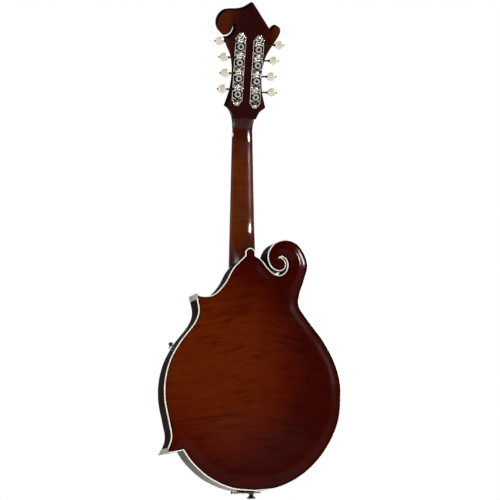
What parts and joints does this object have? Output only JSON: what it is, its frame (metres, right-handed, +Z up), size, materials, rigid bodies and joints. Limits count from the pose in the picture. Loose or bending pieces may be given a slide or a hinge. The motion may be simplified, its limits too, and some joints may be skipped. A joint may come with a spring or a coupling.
{
  "type": "mandolin",
  "caption": "Carved mandolin with a scroll body and points, arched back and soundboard, pitched headstock with geared tuners, floating bridge and tailpiece.",
  "frame": {"origin": "middle of the neck where a hanger yoke holds it, just below the headstock's flare", "axes": "+Z up the neck towards the headstock, -Y towards the soundboard and strings, +X towards the treble side"},
  "size_m": [0.2548, 0.1139, 0.6996],
  "materials": {
    "maple": "dark red-brown sunburst gloss lacquer over flamed maple",
    "spruce": "sunburst gloss lacquer over straight-grained spruce",
    "dark_maple": "near-black brown gloss lacquer over flamed maple",
    "inner_wood": "bare sanded wood",
    "ebony": "oiled satin",
    "ivoroid": "grained cream gloss",
    "nickel": "bright nickel plate",
    "string_steel": "plain and wound steel",
    "rod_steel": "plain steel",
    "black_gloss": "polished black",
    "black_button": "turned black, polished",
    "pearl": "pale pearl button on a nickel shaft",
    "bone": "polished bone"
  },
  "bodies": {
    "instrument": {"back_plate": "maple", "neck": "maple", "soundboard": "spruce", "rib_bass": "dark_maple", "rib_scroll": "dark_maple", "rib_treble_shoulder": "dark_maple", "rib_waist": "dark_maple", "rib_lower_bout": "dark_maple", "neck_block": "dark_maple", "tail_block": "inner_wood", "upper_point_block": "inner_wood", "lower_point_block": "inner_wood", "lining_soundboard": "inner_wood", "lining_back": "inner_wood", "tone_bar_bass": "inner_wood", "tone_bar_treble": "inner_wood", "binding_soundboard": "ivoroid", "binding_back": "ivoroid", "point_protector_upper": "ivoroid", "point_protector_lower": "ivoroid", "headstock_overlay": "black_gloss", "truss_rod_cover": "black_gloss", "pickguard": "black_gloss", "truss_rod": "rod_steel", "fretboard": "ebony", "bridge_base": "ebony", "nut": "bone", "tailpiece_base": "nickel", "pickguard_clamp": "nickel", "tuner_plate_bass": "nickel", "tuner_plate_treble": "nickel", "strap_button": "black_button", "string_g_1": "string_steel", "string_g_2": "string_steel", "string_d_1": "string_steel", "string_d_2": "string_steel", "string_a_1": "string_steel", "string_a_2": "string_steel", "string_e_1": "string_steel", "string_e_2": "string_steel"},
    "bridge_saddle": {"bridge_saddle": "ebony"},
    "bridge_thumbwheel_bass": {"bridge_thumbwheel_bass": "nickel"},
    "bridge_thumbwheel_treble": {"bridge_thumbwheel_treble": "nickel"},
    "string_post_bass_1": {"string_post_bass_1": "nickel"},
    "string_post_bass_2": {"string_post_bass_2": "nickel"},
    "string_post_bass_3": {"string_post_bass_3": "nickel"},
    "string_post_bass_4": {"string_post_bass_4": "nickel"},
    "string_post_treble_1": {"string_post_treble_1": "nickel"},
    "string_post_treble_2": {"string_post_treble_2": "nickel"},
    "string_post_treble_3": {"string_post_treble_3": "nickel"},
    "string_post_treble_4": {"string_post_treble_4": "nickel"},
    "tailpiece_cover": {"tailpiece_cover": "nickel"},
    "tuner_knob_bass_1": {"tuner_knob_bass_1": "pearl"},
    "tuner_knob_bass_2": {"tuner_knob_bass_2": "pearl"},
    "tuner_knob_bass_3": {"tuner_knob_bass_3": "pearl"},
    "tuner_knob_bass_4": {"tuner_knob_bass_4": "pearl"},
    "tuner_knob_treble_1": {"tuner_knob_treble_1": "pearl"},
    "tuner_knob_treble_2": {"tuner_knob_treble_2": "pearl"},
    "tuner_knob_treble_3": {"tuner_knob_treble_3": "pearl"},
    "tuner_knob_treble_4": {"tuner_knob_treble_4": "pearl"}
  },
  "joints": [
    {"name": "bass_knob_1_turn", "type": "hinge", "parent": "instrument", "child": "tuner_knob_bass_1", "pos_m": [-0.0354, 0.03041, 0.05287], "axis": [-1, 0, 0], "continuous": true},
    {"name": "bass_post_1_turn", "type": "hinge", "parent": "instrument", "child": "string_post_bass_1", "pos_m": [-0.0126, 0.02428, 0.04743], "axis": [0, 0.9397, -0.342], "continuous": true},
    {"name": "bass_knob_2_turn", "type": "hinge", "parent": "instrument", "child": "tuner_knob_bass_2", "pos_m": [-0.033, 0.03817, 0.0742], "axis": [-1, 0, 0], "continuous": true},
    {"name": "bass_post_2_turn", "type": "hinge", "parent": "instrument", "child": "string_post_bass_2", "pos_m": [-0.0126, 0.03205, 0.06877], "axis": [0, 0.9397, -0.342], "continuous": true},
    {"name": "bass_knob_3_turn", "type": "hinge", "parent": "instrument", "child": "tuner_knob_bass_3", "pos_m": [-0.0351, 0.04594, 0.09553], "axis": [-1, 0, 0], "continuous": true},
    {"name": "bass_post_3_turn", "type": "hinge", "parent": "instrument", "child": "string_post_bass_3", "pos_m": [-0.0126, 0.03981, 0.0901], "axis": [0, 0.9397, -0.342], "continuous": true},
    {"name": "bass_knob_4_turn", "type": "hinge", "parent": "instrument", "child": "tuner_knob_bass_4", "pos_m": [-0.0419, 0.0537, 0.11686], "axis": [-1, 0, 0], "continuous": true},
    {"name": "bass_post_4_turn", "type": "hinge", "parent": "instrument", "child": "string_post_bass_4", "pos_m": [-0.0126, 0.04757, 0.11143], "axis": [0, 0.9397, -0.342], "continuous": true},
    {"name": "treble_knob_1_turn", "type": "hinge", "parent": "instrument", "child": "tuner_knob_treble_1", "pos_m": [0.037, 0.03157, 0.05606], "axis": [1, 0, 0], "continuous": true},
    {"name": "treble_post_1_turn", "type": "hinge", "parent": "instrument", "child": "string_post_treble_1", "pos_m": [0.0138, 0.02545, 0.05063], "axis": [0, 0.9397, -0.342], "continuous": true},
    {"name": "treble_knob_2_turn", "type": "hinge", "parent": "instrument", "child": "tuner_knob_treble_2", "pos_m": [0.0346, 0.03934, 0.07739], "axis": [1, 0, 0], "continuous": true},
    {"name": "treble_post_2_turn", "type": "hinge", "parent": "instrument", "child": "string_post_treble_2", "pos_m": [0.0138, 0.03321, 0.07196], "axis": [0, 0.9397, -0.342], "continuous": true},
    {"name": "treble_knob_3_turn", "type": "hinge", "parent": "instrument", "child": "tuner_knob_treble_3", "pos_m": [0.0377, 0.0471, 0.09872], "axis": [1, 0, 0], "continuous": true},
    {"name": "treble_post_3_turn", "type": "hinge", "parent": "instrument", "child": "string_post_treble_3", "pos_m": [0.0138, 0.04097, 0.09329], "axis": [0, 0.9397, -0.342], "continuous": true},
    {"name": "treble_knob_4_turn", "type": "hinge", "parent": "instrument", "child": "tuner_knob_treble_4", "pos_m": [0.0451, 0.05486, 0.12005], "axis": [1, 0, 0], "continuous": true},
    {"name": "treble_post_4_turn", "type": "hinge", "parent": "instrument", "child": "string_post_treble_4", "pos_m": [0.0138, 0.04874, 0.11462], "axis": [0, 0.9397, -0.342], "continuous": true},
    {"name": "saddle_height", "type": "slide", "parent": "instrument", "child": "bridge_saddle", "axis": [0, -1, 0], "range_m": [-0.0015, 0]},
    {"name": "thumbwheel_bass_turn", "type": "hinge", "parent": "bridge_saddle", "child": "bridge_thumbwheel_bass", "pos_m": [-0.037, -0.0358, -0.35566], "axis": [0, -1, 0], "range_deg": [-780, 0]},
    {"name": "thumbwheel_treble_turn", "type": "hinge", "parent": "bridge_saddle", "child": "bridge_thumbwheel_treble", "pos_m": [0.037, -0.0358, -0.35566], "axis": [0, -1, 0], "range_deg": [-780, 0]},
    {"name": "tailpiece_cover_slide", "type": "slide", "parent": "instrument", "child": "tailpiece_cover", "axis": [0, 0, 1], "range_m": [0, 0.015]}
  ],
  "couplings": [
    {"joint": "bass_post_1_turn", "follows": "bass_knob_1_turn", "ratio": -0.0625},
    {"joint": "bass_post_2_turn", "follows": "bass_knob_2_turn", "ratio": -0.0625},
    {"joint": "bass_post_3_turn", "follows": "bass_knob_3_turn", "ratio": -0.0625},
    {"joint": "bass_post_4_turn", "follows": "bass_knob_4_turn", "ratio": -0.0625},
    {"joint": "treble_post_1_turn", "follows": "treble_knob_1_turn", "ratio": 0.0625},
    {"joint": "treble_post_2_turn", "follows": "treble_knob_2_turn", "ratio": 0.0625},
    {"joint": "treble_post_3_turn", "follows": "treble_knob_3_turn", "ratio": 0.0625},
    {"joint": "treble_post_4_turn", "follows": "treble_knob_4_turn", "ratio": 0.0625},
    {"joint": "thumbwheel_bass_turn", "follows": "saddle_height", "rad_per_m": 8976},
    {"joint": "thumbwheel_treble_turn", "follows": "saddle_height", "rad_per_m": 8976}
  ]
}
